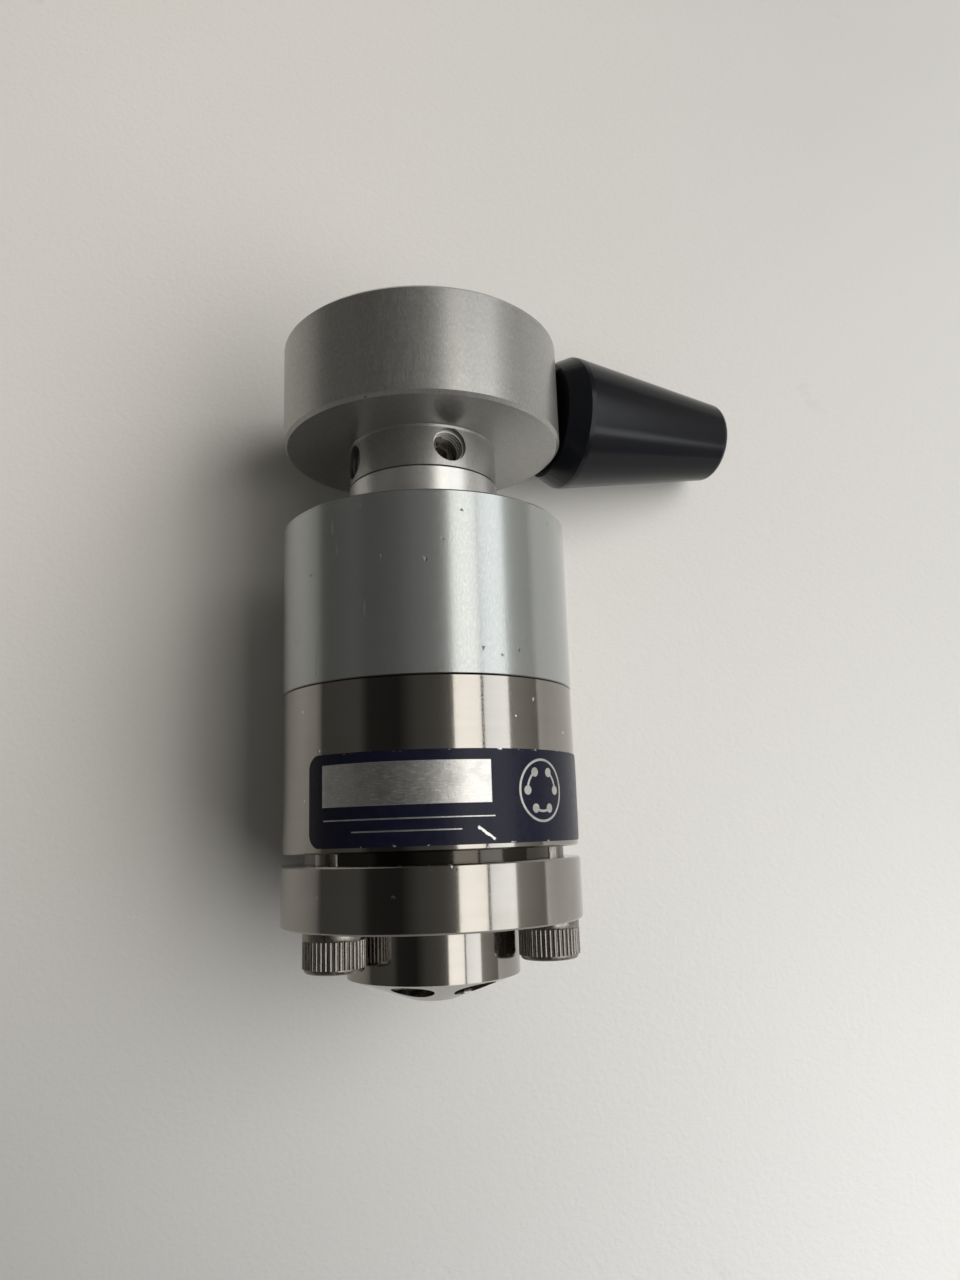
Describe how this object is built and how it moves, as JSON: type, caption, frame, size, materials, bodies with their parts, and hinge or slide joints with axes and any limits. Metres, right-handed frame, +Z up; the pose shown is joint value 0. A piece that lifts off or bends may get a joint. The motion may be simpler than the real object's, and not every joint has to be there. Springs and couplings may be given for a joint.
{
  "type": "six-port sample injection valve",
  "caption": "Manual liquid chromatography injection valve: turned housing, stator with angled tube ports, and a front knob with a side handle that turns the rotor.",
  "frame": {"origin": "on the valve's axis, in the plane of the housing's front face, which seats against the back of a panel", "axes": "+Y along the valve's axis from the stator to the knob, +Z up as the valve lies on a table, +X towards the handle"},
  "size_m": [0.0613, 0.0822, 0.0352],
  "materials": {
    "clear_anodised_aluminium": "satin, clear anodised",
    "bright_steel": "bright turned",
    "bronze": "turned",
    "spring_steel": "satin",
    "bearing_steel": "ground",
    "stainless_steel": "polished",
    "dark_foil": "satin foil",
    "white_polymer": "matte",
    "white_ceramic": "lapped ceramic",
    "dark_steel": "black oxide",
    "satin_aluminium": "satin machined",
    "black_plastic": "satin moulded",
    "brown_polymer": "matte"
  },
  "bodies": {
    "valve_body": {"body_housing": "clear_anodised_aluminium", "pressure_nut": "bright_steel", "shaft_bush": "bronze", "spring_washers": "spring_steel", "fixed_thrust_washer": "bearing_steel", "stator_ring": "stainless_steel", "ring_label": "dark_foil", "ring_dowels": "bearing_steel", "bearing_ring": "bronze", "bearing_ring_key": "bearing_steel", "isolation_seal": "white_polymer", "stator_face": "white_ceramic", "stator_face_pins": "bearing_steel", "stator": "stainless_steel", "stator_dowels": "bearing_steel", "stator_screws": "dark_steel"},
    "rotor": {"knob": "satin_aluminium", "handle_grip": "black_plastic", "handle_stud": "stainless_steel", "knob_set_screws": "dark_steel", "needle_port_bush": "white_polymer", "needle_guide_tube": "stainless_steel", "needle_seal": "white_polymer", "shaft": "stainless_steel", "stop_pin": "bearing_steel", "drive_pins": "bearing_steel", "rotor_seal": "brown_polymer", "moving_thrust_washer": "bearing_steel"},
    "bearing_cage": {"roller_cage": "bronze", "thrust_rollers": "bearing_steel"}
  },
  "joints": [
    {"name": "knob_turn", "type": "hinge", "parent": "valve_body", "child": "rotor", "pos_m": [0, 0, 0], "axis": [0, -1, 0], "range_deg": [0, 60]},
    {"name": "cage_orbit", "type": "hinge", "parent": "valve_body", "child": "bearing_cage", "pos_m": [0, -0.0245, 0], "axis": [0, -1, 0], "range_deg": [0, 30]}
  ],
  "couplings": [
    {"joint": "cage_orbit", "follows": "knob_turn", "ratio": 0.5}
  ]
}
